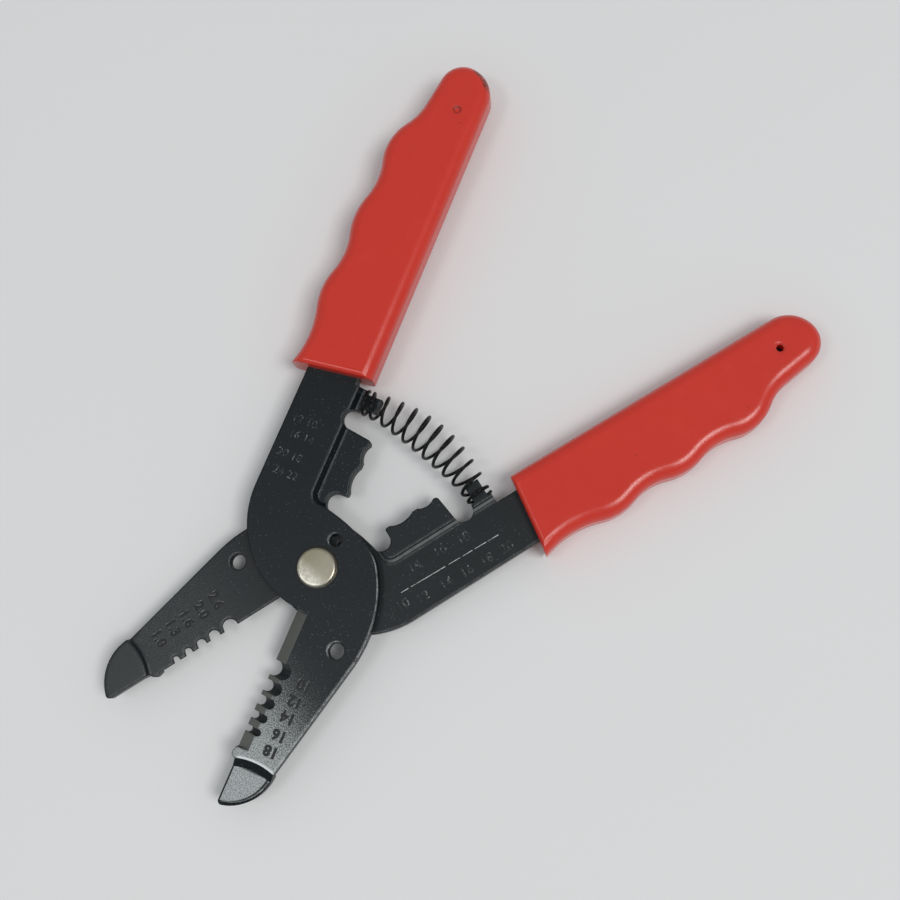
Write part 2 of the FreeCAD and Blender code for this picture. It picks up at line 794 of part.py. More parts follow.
def main():
    doc = FreeCAD.newDocument("WireStripper")
    size = make_sheet(doc)
    upper_lever = make_lever(doc, "upper_lever", size, size.shank_radius + size.running_clearance)
    lower_lever = make_lever(doc, "lower_lever", size, size.shank_radius)
    dimple = SimpleNamespace(
        width=size.upper_pin_width, drop=size.upper_pin_drop, depth=size.pin_dimple_depth, below=False)
    grip_wall = (size.grip_thickness - size.plate_thickness) / 2
    hole = SimpleNamespace(width=size.lower_pin_width, drop=size.lower_pin_drop, depth=grip_wall, below=True)
    upper_grip = make_grip(doc, "upper_grip", size, size.upper_mouth, dimple)
    lower_grip = make_grip(doc, "lower_grip", size, size.lower_mouth, hole)
    rivet = make_rivet(doc, size)
    spring = make_spring(doc, size)
    open_out(upper_lever, size, flipped=False)
    open_out(upper_grip, size, flipped=False)
    open_out(lower_lever, size, flipped=True)
    open_out(lower_grip, size, flipped=True)
    check_and_export(doc, [upper_lever, lower_lever, upper_grip, lower_grip, rivet, spring])


main()
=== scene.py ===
"""Looks of the hand wire stripper, laid over its CAD frame."""
import math
from collections import namedtuple

import bmesh
import bpy
from mathutils import Matrix, Vector


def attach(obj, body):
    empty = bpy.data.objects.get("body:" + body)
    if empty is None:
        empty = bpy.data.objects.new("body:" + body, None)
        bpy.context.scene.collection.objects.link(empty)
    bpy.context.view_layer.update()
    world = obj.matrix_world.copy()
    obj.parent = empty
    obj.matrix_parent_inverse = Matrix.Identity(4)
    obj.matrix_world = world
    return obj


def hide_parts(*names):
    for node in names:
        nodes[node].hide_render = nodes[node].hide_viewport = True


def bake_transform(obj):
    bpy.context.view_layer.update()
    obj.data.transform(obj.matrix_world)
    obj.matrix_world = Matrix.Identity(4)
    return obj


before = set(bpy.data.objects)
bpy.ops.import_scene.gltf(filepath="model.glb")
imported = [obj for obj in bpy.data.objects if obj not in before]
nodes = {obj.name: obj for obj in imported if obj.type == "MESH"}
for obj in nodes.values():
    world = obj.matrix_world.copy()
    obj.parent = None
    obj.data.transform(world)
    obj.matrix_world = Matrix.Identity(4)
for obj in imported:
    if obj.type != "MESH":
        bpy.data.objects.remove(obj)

MM = 0.001
UPPER, LOWER = 1, -1

# turn of each lever from the closed tool, and heights in mm: the plane in which the levers meet,
# the upper lever's outer face and the lower lever's inner face, which both look up
HALF_OPENING = math.radians(17.75)
MEETING = 3.725
OUTER_FACE = 6.25
INNER_FACE = 3.7

# places on a closed lever in mm, with the pivot at (0, 0), its own jaw towards +x and the
# handles towards +y; the nose and the bend before it are circles with a centre and a radius
NOSE_CENTRE, NOSE_RADIUS = (-1.1, -44.88), 9.4
BEND_CENTRE, BEND_RADIUS = (4.7, -59.5), 16.1
NOSE_TOP = -46.0
PIN_MARK = (-12.4, 111.0)
MOUTH_HEIGHT = {UPPER: 44.5, LOWER: 48.1}
MOUTH_SLANT = 0.14

# direction in x and height that the ground stripping edge faces
GROUND_FACING = (-0.568, 0.823)
# radius in mm of the rounding from which the painted edge highlights and the painted rim shade are
# found
EDGE_LIGHT_RADIUS = 1.05
RIVET_RADIUS = 4.5

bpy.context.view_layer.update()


def on_lever(side, x, y, z):
    """Frame point in metres of a place on the closed lever at a height z over the frame, in mm."""
    turn = Matrix.Rotation(side * HALF_OPENING, 3, "Z")
    return turn @ (Vector((side * x, y, 0)) * MM) + Vector((0, 0, z * MM))


def linear(red, green, blue):
    """Shader colour of a displayed 0 to 255 colour."""
    parts = []
    for part in (red, green, blue):
        part /= 255
        parts.append(part / 12.92 if part <= 0.04045 else ((part + 0.055) / 1.055) ** 2.4)
    return (*parts, 1.0)


class Shader:
    """A procedural material whose nodes are made and linked in short calls."""

    def __init__(self, name):
        self.material = bpy.data.materials.new(name)
        self.material.use_nodes = True
        self.tree = self.material.node_tree
        self.surface = self.tree.nodes["Principled BSDF"]
        place = self.node("ShaderNodeTexCoord")
        self.normal = place.outputs["Normal"]
        self.mm = self.vector("SCALE", place.outputs["Object"], scale=1 / MM)

    def node(self, kind, **settings):
        made = self.tree.nodes.new(kind)
        for key, value in settings.items():
            setattr(made, key, value)
        return made

    def put(self, socket, value):
        """Give a socket a plain value, or link it from another socket."""
        if isinstance(value, bpy.types.NodeSocket):
            self.tree.links.new(value, socket)
        else:
            socket.default_value = value

    def set(self, **values):
        """Set inputs of the surface; names use _ for a space."""
        for name, value in values.items():
            self.put(self.surface.inputs[name.replace("_", " ")], value)

    def vector(self, operation, first, second=None, scale=None):
        made = self.node("ShaderNodeVectorMath", operation=operation)
        self.put(made.inputs[0], first)
        if second is not None:
            self.put(made.inputs[1], second)
        if scale is not None:
            self.put(made.inputs["Scale"], scale)
        return made.outputs["Value" if operation == "DOT_PRODUCT" else "Vector"]

    def math(self, operation, *values):
        made = self.node("ShaderNodeMath", operation=operation)
        for socket, value in zip(made.inputs, values):
            self.put(socket, value)
        return made.outputs[0]

    def times(self, *values):
        product = values[0]
        for value in values[1:]:
            product = self.math("MULTIPLY", product, value)
        return product

    def most(self, *values):
        largest = values[0]
        for value in values[1:]:
            largest = self.math("MAXIMUM", largest, value)
        return largest

    def distance(self, x, y, centre=(0.0, 0.0)):
        """Distance in mm of a place from a centre, seen from above."""
        across = self.math("SUBTRACT", x, centre[0])
        down = self.math("SUBTRACT", y, centre[1])
        square = self.math("ADD", self.times(across, across), self.times(down, down))
        return self.math("SQRT", square)

    def disc(self, at, centre, radius, softness):
        """1 inside a circle on the closed lever, 0 outside it."""
        away = self.distance(at.x, at.y, centre)
        return self.ramp(away, radius + softness, radius - softness)

    def ramp(self, value, low, high, bottom=0.0, top=1.0):
        """Smooth step of value from low to high, going from bottom to top."""
        made = self.node("ShaderNodeMapRange", interpolation_type="SMOOTHSTEP")
        for name, number in (("Value", value), ("From Min", low), ("From Max", high),
                             ("To Min", bottom), ("To Max", top)):
            self.put(made.inputs[name], number)
        return made.outputs["Result"]

    def noise(self, size, detail=4.0, roughness=0.55, place=None):
        """Noise whose features are about size mm across."""
        made = self.node("ShaderNodeTexNoise")
        self.put(made.inputs["Vector"], place or self.mm)
        self.put(made.inputs["Scale"], 1 / size)
        self.put(made.inputs["Detail"], detail)
        self.put(made.inputs["Roughness"], roughness)
        return made.outputs["Fac"]

    def specks(self, size, share):
        """Scattered round specks; share is the part of a cell that each one fills."""
        made = self.node("ShaderNodeTexVoronoi")
        self.put(made.inputs["Vector"], self.mm)
        self.put(made.inputs["Scale"], 1 / size)
        return self.ramp(made.outputs["Distance"], share * 0.6, share, 1.0, 0.0)

    def mix(self, share, first, second):
        """Colour between two colours; a Mix node has its colour sockets at 6 and 7, and 2."""
        made = self.node("ShaderNodeMix", data_type="RGBA")
        self.put(made.inputs[0], share)
        self.put(made.inputs[6], first)
        self.put(made.inputs[7], second)
        return made.outputs[2]

    def lerp(self, share, first, second):
        """Number between two numbers; a Mix node has its number sockets at 2 and 3, and 0."""
        made = self.node("ShaderNodeMix", data_type="FLOAT")
        self.put(made.inputs[0], share)
        self.put(made.inputs[2], first)
        self.put(made.inputs[3], second)
        return made.outputs[0]

    def rounded(self, radius, samples=6):
        """Normal of the surface with its edges rounded to radius mm, a number or a socket."""
        made = self.node("ShaderNodeBevel", samples=samples)
        self.put(made.inputs["Radius"], self.times(radius, MM))
        return made.outputs["Normal"]

    def tilt(self, radius):
        """Normal of the rounded edges in the object's own frame, as x, y and z."""
        made = self.node("ShaderNodeVectorTransform", vector_type="NORMAL",
                         convert_from="WORLD", convert_to="OBJECT")
        self.put(made.inputs[0], self.rounded(radius))
        parts = self.node("ShaderNodeSeparateXYZ")
        self.put(parts.inputs[0], made.outputs[0])
        return parts.outputs

    def edges(self, radius):
        """1 along sharp edges, 0 away from them."""
        flat = self.node("ShaderNodeNewGeometry").outputs["Normal"]
        match = self.vector("DOT_PRODUCT", self.rounded(radius), flat)
        return self.ramp(self.math("SUBTRACT", 1.0, match), 0.03, 0.25)

    def bump(self, height, depth, normal=None):
        """Bend the normal by a height map that is depth mm deep."""
        made = self.node("ShaderNodeBump")
        self.put(made.inputs["Height"], height)
        self.put(made.inputs["Distance"], depth * MM)
        if normal is not None:
            self.put(made.inputs["Normal"], normal)
        return made.outputs["Normal"]


Place = namedtuple("Place", "x y height nx ny nz")


def closed_place(shader, side):
    """Place on the closed lever, in mm, and normal there.

    Height counts from the meeting plane towards the lever's outer face.
    """
    turned = []
    for source in (shader.mm, shader.normal):
        made = shader.node("ShaderNodeVectorRotate", rotation_type="Z_AXIS")
        shader.put(made.inputs["Vector"], source)
        shader.put(made.inputs["Angle"], -side * HALF_OPENING)
        parts = shader.node("ShaderNodeSeparateXYZ")
        shader.put(parts.inputs[0], made.outputs[0])
        turned.append(parts.outputs)
    place, normal = turned
    return Place(
        x=shader.math("MULTIPLY", place[0], side),
        y=place[1],
        height=shader.math("MULTIPLY", shader.math("SUBTRACT", place[2], MEETING), side),
        nx=shader.math("MULTIPLY", normal[0], side),
        ny=normal[1],
        nz=shader.math("MULTIPLY", normal[2], side))


def ground_edge(shader, at):
    """The stripping edge, ground to a slope after blackening."""
    run, rise = GROUND_FACING
    facing = shader.math("ADD", shader.times(at.nx, run), shader.times(at.nz, rise))
    return shader.times(
        shader.ramp(facing, 0.985, 0.995),
        shader.ramp(shader.math("ABSOLUTE", at.ny), 0.05, 0.02))


def bare_nose(shader, at):
    """The outer face of the nose, rubbed bare inside its dark rolled rim."""
    return shader.times(
        shader.disc(at, NOSE_CENTRE, NOSE_RADIUS, 0.1), shader.ramp(at.nz, 0.97, 0.99),
        shader.ramp(at.y, NOSE_TOP, NOSE_TOP - 0.4), shader.ramp(at.x, 0.35, 0.5),
        shader.ramp(at.height, 1.6, 1.4))


def thin_oxide_and_sheen(shader, at, grit):
    """The outer face, where the oxide is rubbed thin in patches and a painted sheen grows towards
    the nose and the stripping edge.
    """
    rub = shader.ramp(shader.math("ADD", at.y, shader.times(at.x, 0.7)), -4.0, -40.0)
    patches = shader.times(rub, shader.math("SUBTRACT", grit, 0.5), 5.5)
    return shader.ramp(shader.math("ADD", shader.times(rub, rub, 0.76), patches), 0.02, 0.98)


def inner_sheen(shader, at, grit):
    """The inner face of the jaw, a little paler by painted sheen in patches, with a smoother nose.
    """
    patches = shader.ramp(grit, 0.3, 0.7, 0.0, 0.13)
    return shader.times(
        shader.ramp(at.y, -8.0, -34.0), shader.ramp(at.nz, -0.2, -0.5),
        shader.lerp(shader.ramp(at.y, NOSE_TOP + 0.8, NOSE_TOP), patches, 0.055))


def lobe_bend_highlight(shader, at):
    """The painted highlight along the bend by the lower lobe and the spring's shoulder, broken in
    places.
    """
    return shader.times(
        shader.ramp(at.nz, -0.2, -0.4), shader.ramp(at.nz, -0.99, -0.95),
        shader.ramp(at.y, 8.0, 13.0),
        shader.ramp(at.height, -1.0, -0.7), shader.ramp(at.height, -0.1, -0.3),
        shader.ramp(shader.noise(2.4, 3), 0.3, 0.55, 0.4, 1.0))


def lever_steel(side):
    """Black oxide over stamped steel, bare where it is ground or rubbed, with painted highlights
    along edges and bends and painted shade on the rims.
    """
    shader = Shader("lever_steel_upper" if side == UPPER else "lever_steel_lower")
    at = closed_place(shader, side)
    cloud = shader.noise(9.0, 3)
    grain = shader.noise(0.35, 6, 0.7)
    grit = shader.noise(0.26, 4, 0.8)

    flat = shader.ramp(at.nz, 0.9, 0.98)
    outside = shader.times(flat, shader.ramp(at.height, 2.3, 2.5))
    ground = ground_edge(shader, at)
    nose = bare_nose(shader, at)
    # oxide rubbed thin in patches, with a painted sheen growing towards the tip
    worn = shader.times(outside, thin_oxide_and_sheen(shader, at, grit))
    # painted highlight along the top of the bend before the nose
    ridge_highlight = shader.times(
        outside, shader.disc(at, BEND_CENTRE, BEND_RADIUS, 0.2), shader.ramp(at.x, 0.0, 0.8))
    # painted highlight just inside the edges, most along the sides that face +x, and painted shade
    # on their outermost rims
    tilt = shader.tilt(EDGE_LIGHT_RADIUS)
    level = shader.ramp(shader.math("ABSOLUTE", at.nz), 0.96, 0.99)
    broken = shader.ramp(shader.noise(1.6, 5, 0.75), 0.34, 0.54, 0.4, 1.0)
    edge_highlight = shader.times(
        level, shader.ramp(tilt[2], 0.985, 0.95), shader.ramp(tilt[2], 0.83, 0.88),
        shader.ramp(tilt[0], 0.06, 0.22), broken,
        shader.ramp(at.y, 6.0, 10.0, 1.0 if side == UPPER else 0.4, 0.35))
    # painted shade on the outermost rims of the level faces
    rim = shader.times(level, shader.ramp(tilt[2], 0.85, 0.8))
    edge = shader.times(shader.edges(0.3), broken, shader.ramp(tilt[0], 0.1, 0.3, 0.3, 0.04))
    # bare steel where it is ground or rubbed, together with the painted highlights
    bare = shader.most(ground, nose, worn, shader.times(ridge_highlight, 0.9), edge, edge_highlight)
    if side == LOWER:
        bare = shader.most(bare, lobe_bend_highlight(shader, at))

    oxide = shader.mix(cloud, linear(7, 16, 21), linear(18, 28, 34))
    oxide = shader.mix(shader.ramp(grain, 0.4, 0.7), oxide, linear(4, 9, 12))
    tone = shader.mix(grain, linear(126, 129, 128), linear(184, 189, 190))
    tone = shader.mix(ground, tone, linear(122, 124, 120))
    grimy = shader.times(nose, shader.ramp(grit, 0.46, 0.62), 0.85)
    tone = shader.mix(grimy, tone, linear(66, 71, 74))
    # near-white colour of the painted highlights on the bend and the edges
    tone = shader.mix(shader.most(ridge_highlight, edge_highlight), tone, linear(206, 210, 211))
    colour = shader.mix(shader.most(bare, inner_sheen(shader, at, grit)), oxide, tone)
    fleck = shader.times(shader.specks(0.7, 0.12), shader.ramp(cloud, 0.4, 0.6, 0.25, 1.0))
    colour = shader.mix(fleck, colour, linear(126, 132, 136))
    # painted shade on the rims, near black
    colour = shader.mix(shader.times(rim, 0.8), colour, linear(5, 9, 11))

    gloss = shader.lerp(flat, 0.22, 0.34) if side == UPPER else 0.4
    gloss = shader.times(gloss, shader.ramp(rim, 0.0, 1.0, 1.0, 0.3))
    # the lower lever's bend at the nose is rounder than its cut edges
    radius = 0.32 if side == UPPER else shader.ramp(at.y, -41.0, -43.0, 0.32, 1.1)
    shader.set(
        Base_Color=colour, Metallic=shader.times(bare, 0.85), Specular_IOR_Level=gloss,
        Roughness=shader.lerp(bare, shader.lerp(cloud, 0.34, 0.46), 0.42),
        Normal=shader.bump(shader.lerp(0.5, grain, grit), 0.03, shader.rounded(radius)))
    return shader.material


def rivet_steel():
    """Plain steel with the marks of the press that set the head, with a painted sheen towards +x, a
    painted highlight towards -y and painted shade round the head's edge.
    """
    shader = Shader("rivet_steel")
    parts = shader.node("ShaderNodeSeparateXYZ")
    shader.put(parts.inputs[0], shader.mm)
    x, y = parts.outputs[0], parts.outputs[1]
    radius = shader.distance(x, y)
    cloud = shader.noise(2.6, 4, 0.6)
    grain = shader.noise(0.25, 5, 0.7)
    rings = shader.node("ShaderNodeCombineXYZ")
    shader.put(rings.inputs[0], radius)
    turned = shader.noise(0.18, 3, 0.6, rings.outputs[0])

    # painted sheen: the head brighter towards +x
    colour = shader.mix(shader.ramp(x, -3.6, 2.6), linear(158, 153, 132), linear(176, 171, 154))
    dull = shader.times(shader.ramp(cloud, 0.4, 0.7), 0.3)
    colour = shader.mix(dull, colour, linear(150, 145, 130))
    patches = shader.ramp(shader.noise(1.2, 5, 0.7), 0.36, 0.6, 0.35, 1.0)
    # painted highlight on the head, towards -y, in patches
    painted_highlight = shader.times(shader.ramp(y, 0.3, -3.6), patches)
    colour = shader.mix(painted_highlight, colour, linear(236, 232, 218))
    pits = shader.times(shader.ramp(grain, 0.6, 0.73), 0.45)
    colour = shader.mix(pits, colour, linear(110, 106, 94))
    # painted shade round the edge of the head
    head_edge_shade = shader.times(shader.ramp(radius, RIVET_RADIUS - 0.15, RIVET_RADIUS), 0.85)
    colour = shader.mix(head_edge_shade, colour, linear(52, 48, 42))
    shader.set(
        Base_Color=colour, Metallic=0.9, Roughness=shader.lerp(cloud, 0.24, 0.36),
        Normal=shader.bump(shader.lerp(0.3, turned, cloud), 0.014, shader.rounded(0.45)))
    return shader.material


def spring_steel():
    """Oil-blackened drawn wire."""
    shader = Shader("spring_steel")
    cloud = shader.noise(1.4, 4, 0.6)
    grain = shader.noise(0.2, 4, 0.7)
    colour = shader.mix(cloud, linear(8, 9, 9), linear(27, 28, 28))
    worn = shader.ramp(shader.noise(0.9, 5, 0.75), 0.6, 0.72, 0.0, 0.3)
    colour = shader.mix(worn, colour, linear(92, 92, 90))
    shader.set(
        Base_Color=colour, Metallic=0.6, Roughness=shader.lerp(grain, 0.3, 0.46),
        Normal=shader.bump(grain, 0.01))
    return shader.material


def moulding_flash(shader, at):
    """Scraps of flash left at the end of the upper lever's sleeve."""
    return shader.times(
        shader.ramp(at.y, 117.6, 119.6), shader.ramp(at.x, -13.5, -11.5),
        shader.ramp(at.nz, 0.9, 0.7), shader.ramp(at.height, 3.7, 4.2),
        shader.ramp(shader.noise(0.6, 4, 0.7), 0.42, 0.52))


def grip_plastic(side):
    """Glossy red moulded plastic, a little uneven, with flash and a pin mark on one sleeve."""
    shader = Shader("grip_plastic_upper" if side == UPPER else "grip_plastic_lower")
    at = closed_place(shader, side)
    cloud = shader.noise(26.0, 3)
    mottle = shader.noise(3.5, 4, 0.6)
    skin = shader.noise(0.5, 3, 0.6)
    colour = shader.mix(cloud, linear(202, 47, 33), linear(214, 56, 41))
    pale = shader.times(shader.ramp(mottle, 0.5, 0.75), 0.2)
    colour = shader.mix(pale, colour, linear(222, 62, 48))
    specks = shader.times(shader.specks(5.5, 0.035), 0.7)
    colour = shader.mix(specks, colour, linear(96, 20, 18))
    if side == UPPER:
        colour = shader.mix(moulding_flash(shader, at), colour, linear(64, 34, 28))
        from_pin = shader.distance(at.x, at.y, PIN_MARK)
        ring = shader.times(
            shader.ramp(from_pin, 1.15, 0.95), shader.ramp(from_pin, 0.45, 0.7), 0.5)
        colour = shader.mix(ring, colour, linear(120, 26, 22))
    # the sleeve's long edges are rounder than the thin lip of its slanted mouth
    mouth = shader.math("ADD", shader.times(at.x, MOUTH_SLANT), MOUTH_HEIGHT[side])
    from_mouth = shader.math("SUBTRACT", at.y, mouth)
    radius = shader.ramp(from_mouth, 1.0, 4.5, 0.35, 1.6)
    shader.set(
        Base_Color=colour, Roughness=shader.lerp(mottle, 0.17, 0.27),
        Normal=shader.bump(shader.lerp(0.8, skin, mottle), 0.04, shader.rounded(radius, 8)))
    return shader.material


def number_ink(name, base, bright, share):
    """Stamped figures, dark in the stroke and rubbed bright in places."""
    shader = Shader(name)
    patch = shader.ramp(shader.noise(0.5, 4, 0.7), 0.62 - share * 0.3, 0.72 - share * 0.3)
    colour = shader.mix(patch, base, bright)
    shader.set(
        Base_Color=colour, Metallic=shader.times(patch, 0.6), Roughness=0.5,
        Normal=shader.bump(shader.noise(0.15, 3), 0.01))
    return shader.material


def floor_paper():
    """Matt, almost even pale paper."""
    shader = Shader("floor_paper")
    cloud = shader.noise(160.0, 2)
    colour = shader.mix(cloud, (0.805, 0.813, 0.822, 1), (0.82, 0.828, 0.836, 1))
    bumps = shader.noise(1.2, 4)
    shader.set(Base_Color=colour, Roughness=0.85, Normal=shader.bump(bumps, 0.01))
    return shader.material


def paint(obj, material):
    """Give a CAD node its material."""
    obj.data.materials.clear()
    obj.data.materials.append(material)


def make_object(name, mesh, material):
    """Object in the scene for a mesh that is already in its place."""
    obj = bpy.data.objects.new(name, mesh)
    bpy.context.scene.collection.objects.link(obj)
    mesh.materials.append(material)
    return obj


# the spring in mm: its wire starts at SEAT_REACH and PEG_HEIGHT on each closed lever, its axis
# runs straight off each peg and bows along one arc between them, and its coils are widest in
# the middle
WIRE_RADIUS = 0.375
COIL_END_RADIUS = 2.72
COIL_MIDDLE_RADIUS = 4.15
SWELL_POWER = 1.5
END_PITCH = 1.3
END_TURNS = 1
OPEN_TURNS = 10
PEG_HEIGHT = 39.05
SEAT_REACH = -5.775
TURNS = 2 * END_TURNS + OPEN_TURNS
# share of the closing that the turn on each peg takes up
END_CLOSING = 0.0105
STEPS_PER_TURN = 32
WIRE_SIDES = 14


def spring_path():
    """Centre line of the wire in mm, right-handed, from the upper lever's peg to the lower one's.

    Each entry is a point and the direction from the coil's axis to it.
    """
    seat = on_lever(UPPER, SEAT_REACH, PEG_HEIGHT, MEETING) / MM
    straight = END_PITCH * END_TURNS
    leaving = Vector((math.cos(HALF_OPENING), math.sin(HALF_OPENING), 0))
    bend_start = seat + leaving * straight
    bend_radius = -bend_start.x / math.sin(HALF_OPENING)
    centre = Vector((0, bend_start.y - bend_radius * math.cos(HALF_OPENING), MEETING))
    bend_length = 2 * HALF_OPENING * bend_radius
    whole = bend_length + 2 * straight
    path = []
    for step in range(TURNS * STEPS_PER_TURN + 1):
        turn = step / STEPS_PER_TURN
        if turn < END_TURNS:
            along = turn * END_PITCH
        elif turn > TURNS - END_TURNS:
            along = whole - (TURNS - turn) * END_PITCH
        else:
            along = straight + (turn - END_TURNS) * bend_length / OPEN_TURNS
        on_bend = min(max(along - straight, 0), bend_length)
        lean = HALF_OPENING - on_bend / bend_radius
        outward = Vector((-math.sin(lean), math.cos(lean), 0))
        forward = Vector((math.cos(lean), math.sin(lean), 0))
        overrun = min(along - straight, 0) + max(along - straight - bend_length, 0)
        axis_point = centre + outward * bend_radius + forward * overrun
        swell = math.sin(math.pi * along / whole) ** SWELL_POWER
        coil = COIL_END_RADIUS + (COIL_MIDDLE_RADIUS - COIL_END_RADIUS) * swell
        angle = 2 * math.pi * turn
        spoke = outward * math.cos(angle) + Vector((0, 0, math.sin(angle)))
        path.append((axis_point + spoke * coil, spoke))
    return path


def sweep_wire(path):
    """Mesh of round wire along part of the path, given as (point, spoke, direction of the wire)."""
    work = bmesh.new()
    rings = []
    for point, spoke, run in path:
        across = (spoke - run * spoke.dot(run)).normalized()
        above = run.cross(across)
        ring = []
        for side in range(WIRE_SIDES):
            angle = 2 * math.pi * side / WIRE_SIDES
            reach = across * math.cos(angle) + above * math.sin(angle)
            ring.append(work.verts.new((point + reach * WIRE_RADIUS) * MM))
        rings.append(ring)
    for first, second in zip(rings, rings[1:]):
        for side in range(WIRE_SIDES):
            following = (side + 1) % WIRE_SIDES
            face = work.faces.new((first[side], first[following], second[following], second[side]))
            face.smooth = True
    work.faces.new(list(reversed(rings[0])))
    work.faces.new(rings[-1])
    bmesh.ops.recalc_face_normals(work, faces=work.faces)
    mesh = bpy.data.meshes.new("spring_wire")
    work.to_mesh(mesh)
    work.free()
    return mesh


def step_of(weight):
    """Where a smooth step from 0 to 1 reaches weight."""
    return 0.5 - math.sin(math.asin(1 - 2 * weight) / 3)


def closing_share(turn):
    """How much of the closing the wire has taken up at a turn, counted from the upper end."""
    nearest = min(turn, TURNS - turn)
    share = END_CLOSING * min(nearest, END_TURNS) / END_TURNS
    share += max(nearest - END_TURNS, 0) * (1 - 2 * END_CLOSING) / OPEN_TURNS
    return share if turn <= TURNS / 2 else 1 - share


def make_spring():
    """Round wire swept along the coils, cut into half turns; the share of the closing at each cut
    is worked out but not used.
    """
    points = spring_path()
    path = []
    for index, (point, spoke) in enumerate(points):
        before = points[max(index - 1, 0)][0]
        after = points[min(index + 1, len(points) - 1)][0]
        path.append((point, spoke, (after - before).normalized()))
    steel = spring_steel()
    cuts = [0, *(0.25 + half / 2 for half in range(2 * TURNS)), TURNS]
    for number, (low, high) in enumerate(zip(cuts, cuts[1:]), start=1):
        first, last = round(low * STEPS_PER_TURN), round(high * STEPS_PER_TURN)
        wire = make_object(f"spring_wire_{number}", sweep_wire(path[first:last + 1]), steel)
        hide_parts("return_spring")
        low_step = step_of(closing_share(low))
        high_step = step_of(closing_share(high))
        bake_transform(wire)


# half of a figure's thickness in mm, and its height as a share of the font's size
FIGURE_HALF = 0.006
FIGURE_SHARE = 0.7


def text_mesh(words, height, weight):
    """Flat mesh of some figures centred on the origin, height metres tall, weight metres bolder."""
    curve = bpy.data.curves.new("figures", "FONT")
    curve.body = words
    curve.size = height / FIGURE_SHARE
    curve.offset = weight
    curve.align_x = "CENTER"
    curve.align_y = "CENTER"
    curve.extrude = FIGURE_HALF * MM
    curve.resolution_u = 3
    holder = bpy.data.objects.new("figures", curve)
    bpy.context.scene.collection.objects.link(holder)
    bpy.context.view_layer.update()
    solved = holder.evaluated_get(bpy.context.evaluated_depsgraph_get())
    mesh = bpy.data.meshes.new_from_object(solved)
    bpy.data.objects.remove(holder)
    bpy.data.curves.remove(curve)
    return mesh


def stamp_figures(name, side, body, entries, height, turn, material,
                  weight=0.0, shift=(0, 0), rise=FIGURE_HALF):
    """Figures stamped in one lever, in mm; each entry is (words, x, y) on the closed lever."""
    face = OUTER_FACE if side == UPPER else INNER_FACE
    work = bmesh.new()
    for words, x, y in entries:
        mesh = text_mesh(words, height * MM, weight * MM)
        place = Matrix.Translation(on_lever(side, x, y, face + rise) + Vector((*shift, 0)) * MM)
        mesh.transform(place @ Matrix.Rotation(side * HALF_OPENING + math.radians(turn), 4, "Z"))
        work.from_mesh(mesh)
        bpy.data.meshes.remove(mesh)
    joined = bpy.data.meshes.new(name)
    work.to_mesh(joined)
    work.free()
    obj = make_object(name, joined, material)
    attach(obj, body)


def scribe_rule(material):
    """Broken line scribed along the lower lever's handle."""
    start, end = (-14.4, 12.9), (-15.0, 38.1)
    dashes = ((12.9, 14.8), (15.4, 24.3), (25.2, 28.1), (28.6, 31.4), (31.9, 34.9), (35.3, 38.1))
    rise, thickness = 0.008, 0.02
    work = bmesh.new()
    for low, high in dashes:
        corners = []
        for y, shift in ((low, -0.06), (low, 0.06), (high, 0.1), (high, -0.1)):
            share = (y - start[1]) / (end[1] - start[1])
            x = start[0] + (end[0] - start[0]) * share + shift
            corners.append(work.verts.new(on_lever(LOWER, x, y, INNER_FACE + rise)))
        face = work.faces.new(corners)
        grown = bmesh.ops.extrude_face_region(work, geom=[face])
        moved = [item for item in grown["geom"] if isinstance(item, bmesh.types.BMVert)]
        bmesh.ops.translate(work, verts=moved, vec=(0, 0, -thickness * MM))
    bmesh.ops.recalc_face_normals(work, faces=work.faces)
    mesh = bpy.data.meshes.new("lower_lever_rule")
    work.to_mesh(mesh)
    work.free()
    obj = make_object("lower_lever_rule", mesh, material)
    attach(obj, "lower_half")


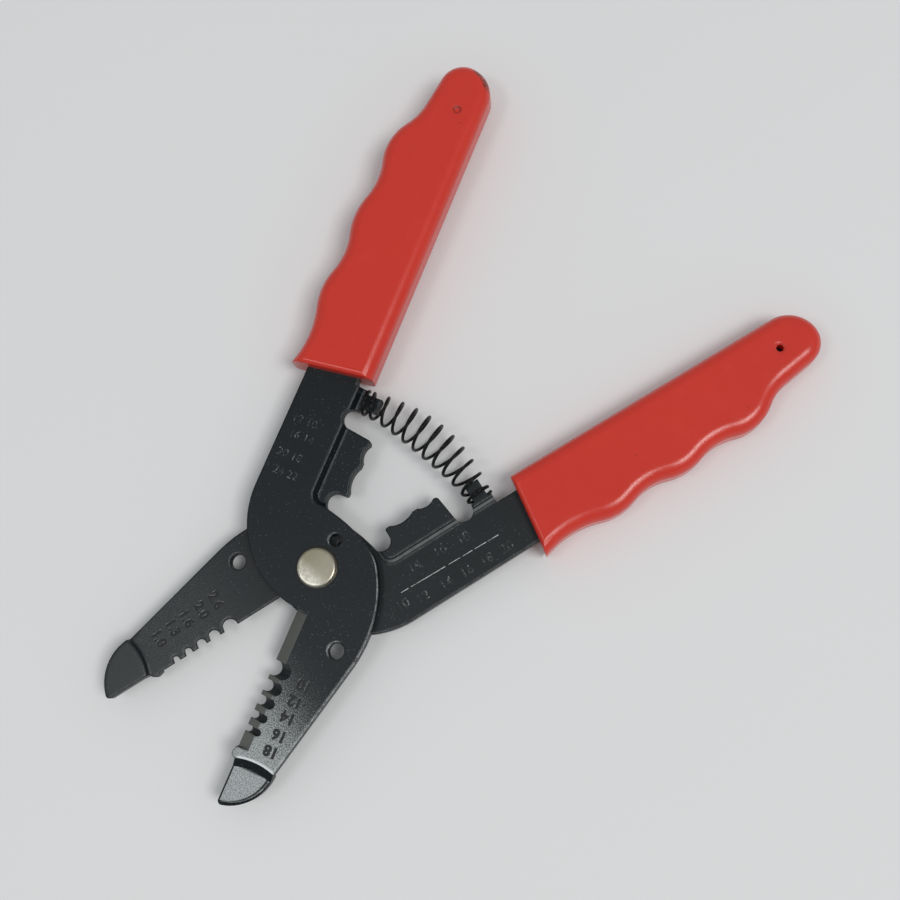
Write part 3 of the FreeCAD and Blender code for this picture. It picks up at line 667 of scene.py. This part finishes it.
def make_marks():
    """Stamped figures and the scribed rule; a painted highlight shows along one side of each figure
    on the jaws.
    """
    black = number_ink("stamped_black", linear(4, 6, 8), linear(60, 64, 64), 0.0)
    # painted highlight: a pale copy of each jaw figure, set a little towards -x
    figure_highlight = number_ink("stamped_highlight", linear(34, 40, 42), linear(150, 155, 156), 0.55)
    faint = number_ink("stamped_faint", linear(14, 20, 23), linear(132, 138, 138), 0.3)
    rule = number_ink("scribed_bright", linear(84, 88, 88), linear(186, 190, 190), 0.8)
    upper_jaw = (
        ("10", 7.9, -24.7), ("12", 7.4, -28.6), ("14", 7.4, -32.3), ("16", 7.2, -36.5),
        ("18", 6.9, -40.3))
    upper_handle = (
        ("12 10", -16.4, 29.5), ("16 14", -15.6, 25.8), ("20 18", -16.4, 21.0),
        ("24 22", -15.6, 16.8))
    lower_jaw = (
        ("2.6", 6.5, -23.8), ("2.0", 6.3, -27.7), ("1.6", 6.5, -31.5), ("1.3", 6.4, -35.2),
        ("1.0", 6.0, -39.1))
    lower_handle = (
        ("14", -11.0, 18.5), ("16", -10.9, 25.2), ("18", -11.5, 31.1),
        ("10", -16.9, 11.9), ("12", -17.8, 16.6), ("14", -18.1, 22.6), ("16", -18.1, 27.9),
        ("18", -18.3, 33.0), ("20", -18.4, 38.2))
    # shift and height of the painted highlight copies
    beside, low = (-0.1, 0.02), 0.001
    stamp_figures("upper_jaw_figures", UPPER, "upper_half", upper_jaw, 2.3, 180, black, 0.16)
    stamp_figures("upper_jaw_highlights", UPPER, "upper_half", upper_jaw, 2.3, 180, figure_highlight, 0.16,
                  beside, low)
    stamp_figures("upper_handle_figures", UPPER, "upper_half", upper_handle, 1.9, 0, faint)
    stamp_figures("lower_jaw_figures", LOWER, "lower_half", lower_jaw, 2.3, 0, black, 0.15)
    stamp_figures("lower_jaw_highlights", LOWER, "lower_half", lower_jaw, 2.3, 0, figure_highlight, 0.15,
                  beside, low)
    stamp_figures("lower_handle_figures", LOWER, "lower_half", lower_handle, 2.2, 90, faint)
    scribe_rule(rule)


LIGHT_TARGET = Vector((0.0, 0.03, 0.0))
FLOOR_REACH = 3.0
FLOOR_LEVEL = -2.32 * MM
# strength of the surround as it lights the tool, and as the camera sees it
SURROUND_LIGHT = 0.40
SURROUND_SEEN = 0.62


def area_light(name, place, size, power, colour):
    """Soft rectangular light aimed at the tool's middle."""
    data = bpy.data.lights.new(name, "AREA")
    data.shape = "RECTANGLE"
    data.size, data.size_y = size
    data.energy = power
    data.color = colour
    obj = bpy.data.objects.new(name, data)
    obj.location = place
    aim = LIGHT_TARGET - Vector(place)
    obj.rotation_euler = aim.to_track_quat("-Z", "Y").to_euler()
    bpy.context.scene.collection.objects.link(obj)


def make_room():
    """Pale sheet under the tool, an even pale surround, a soft key and a weak sheen light."""
    mesh = bpy.data.meshes.new("floor")
    corners = [(x * FLOOR_REACH, y * FLOOR_REACH, FLOOR_LEVEL)
               for x, y in ((-1, -1), (1, -1), (1, 1), (-1, 1))]
    mesh.from_pydata(corners, [], [(0, 1, 2, 3)])
    floor = make_object("floor", mesh, floor_paper())
    world = bpy.data.worlds.new("surround")
    bpy.context.scene.world = world
    world.use_nodes = True
    tree = world.node_tree
    back = tree.nodes["Background"]
    path = tree.nodes.new("ShaderNodeLightPath")
    strength = tree.nodes.new("ShaderNodeMapRange")
    tree.links.new(path.outputs["Is Camera Ray"], strength.inputs["Value"])
    strength.inputs["To Min"].default_value = SURROUND_LIGHT
    strength.inputs["To Max"].default_value = SURROUND_SEEN
    tree.links.new(strength.outputs["Result"], back.inputs["Strength"])
    back.inputs["Color"].default_value = (0.97, 0.99, 1.0, 1)
    area_light("key", (0.98, 0.34, 1.84), (0.75, 0.75), 17.6, (1.0, 0.99, 0.97))
    area_light("sheen", (-0.12, -0.25, 0.75), (0.22, 0.16), 0.62, (0.97, 0.99, 1.0))


def make_camera():
    """Camera over the hub, turned so that the jaws point down and to the left."""
    right = Vector((0.75548, 0.64815, -0.09570))
    up = Vector((-0.62413, 0.75639, 0.19578))
    back = Vector((0.19928, -0.08818, 0.97597))
    data = bpy.data.cameras.new("camera")
    data.lens = 47.7
    data.sensor_width = 36.0
    camera = bpy.data.objects.new("camera", data)
    turn = Matrix((right, up, back)).transposed().to_4x4()
    camera.matrix_world = Matrix.Translation((0.05893, 0.01557, 0.26786)) @ turn
    bpy.context.scene.collection.objects.link(camera)
    bpy.context.scene.camera = camera


paint(nodes["upper_lever"], lever_steel(UPPER))
paint(nodes["lower_lever"], lever_steel(LOWER))
paint(nodes["upper_grip"], grip_plastic(UPPER))
paint(nodes["lower_grip"], grip_plastic(LOWER))
paint(nodes["pivot_rivet"], rivet_steel())
make_spring()
make_marks()
make_room()
make_camera()
bpy.context.scene.view_settings.view_transform = "Standard"
